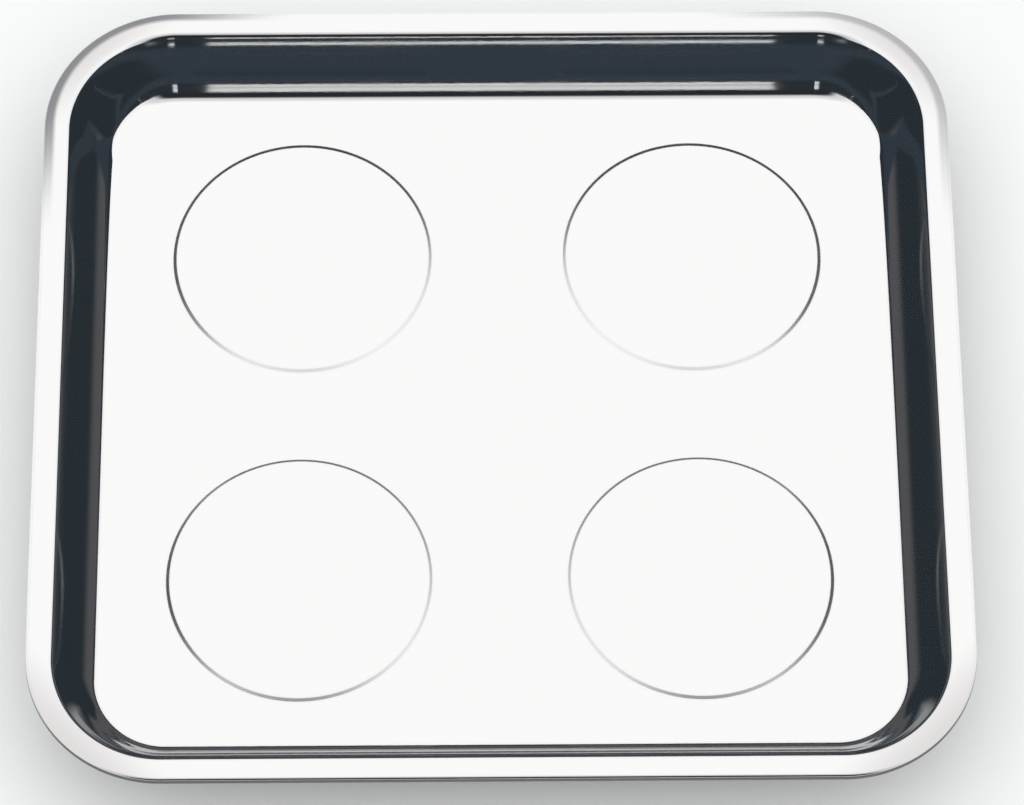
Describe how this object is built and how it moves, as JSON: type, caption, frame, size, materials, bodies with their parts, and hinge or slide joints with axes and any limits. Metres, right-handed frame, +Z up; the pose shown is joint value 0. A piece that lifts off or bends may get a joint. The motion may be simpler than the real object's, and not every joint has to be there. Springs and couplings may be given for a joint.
{
  "type": "magnetic parts tray",
  "caption": "Shallow pressed steel tray with rounded corners and a curled rim, whose floor has raised round seats with rubber-booted ring magnets under them, for holding loose steel parts.",
  "frame": {"origin": "on the bench, under the middle of the tray, level with the undersides of the rubber boots", "axes": "+Z up, +X along the long side to the right as the picture shows the tray, +Y away from the viewer"},
  "size_m": [0.29, 0.269, 0.0392],
  "materials": {
    "polished_stainless": "mirror polished stainless sheet",
    "black_rubber": "matt moulded",
    "ferrite": "ground, unglazed",
    "zinc_plate": "bright zinc plated",
    "stud_steel": "copper flashed",
    "spring_steel": "plain"
  },
  "bodies": {
    "root": {"pan": "polished_stainless", "magnet_front_left": "ferrite", "magnet_front_right": "ferrite", "magnet_rear_left": "ferrite", "magnet_rear_right": "ferrite", "boot_front_left": "black_rubber", "boot_front_right": "black_rubber", "boot_rear_left": "black_rubber", "boot_rear_right": "black_rubber", "retainer_front_left": "zinc_plate", "retainer_front_right": "zinc_plate", "retainer_rear_left": "zinc_plate", "retainer_rear_right": "zinc_plate", "stud_front_left": "stud_steel", "stud_front_right": "stud_steel", "stud_rear_left": "stud_steel", "stud_rear_right": "stud_steel", "washer_front_left": "spring_steel", "washer_front_right": "spring_steel", "washer_rear_left": "spring_steel", "washer_rear_right": "spring_steel", "nut_front_left": "zinc_plate", "nut_front_right": "zinc_plate", "nut_rear_left": "zinc_plate", "nut_rear_right": "zinc_plate"}
  },
  "joints": []
}
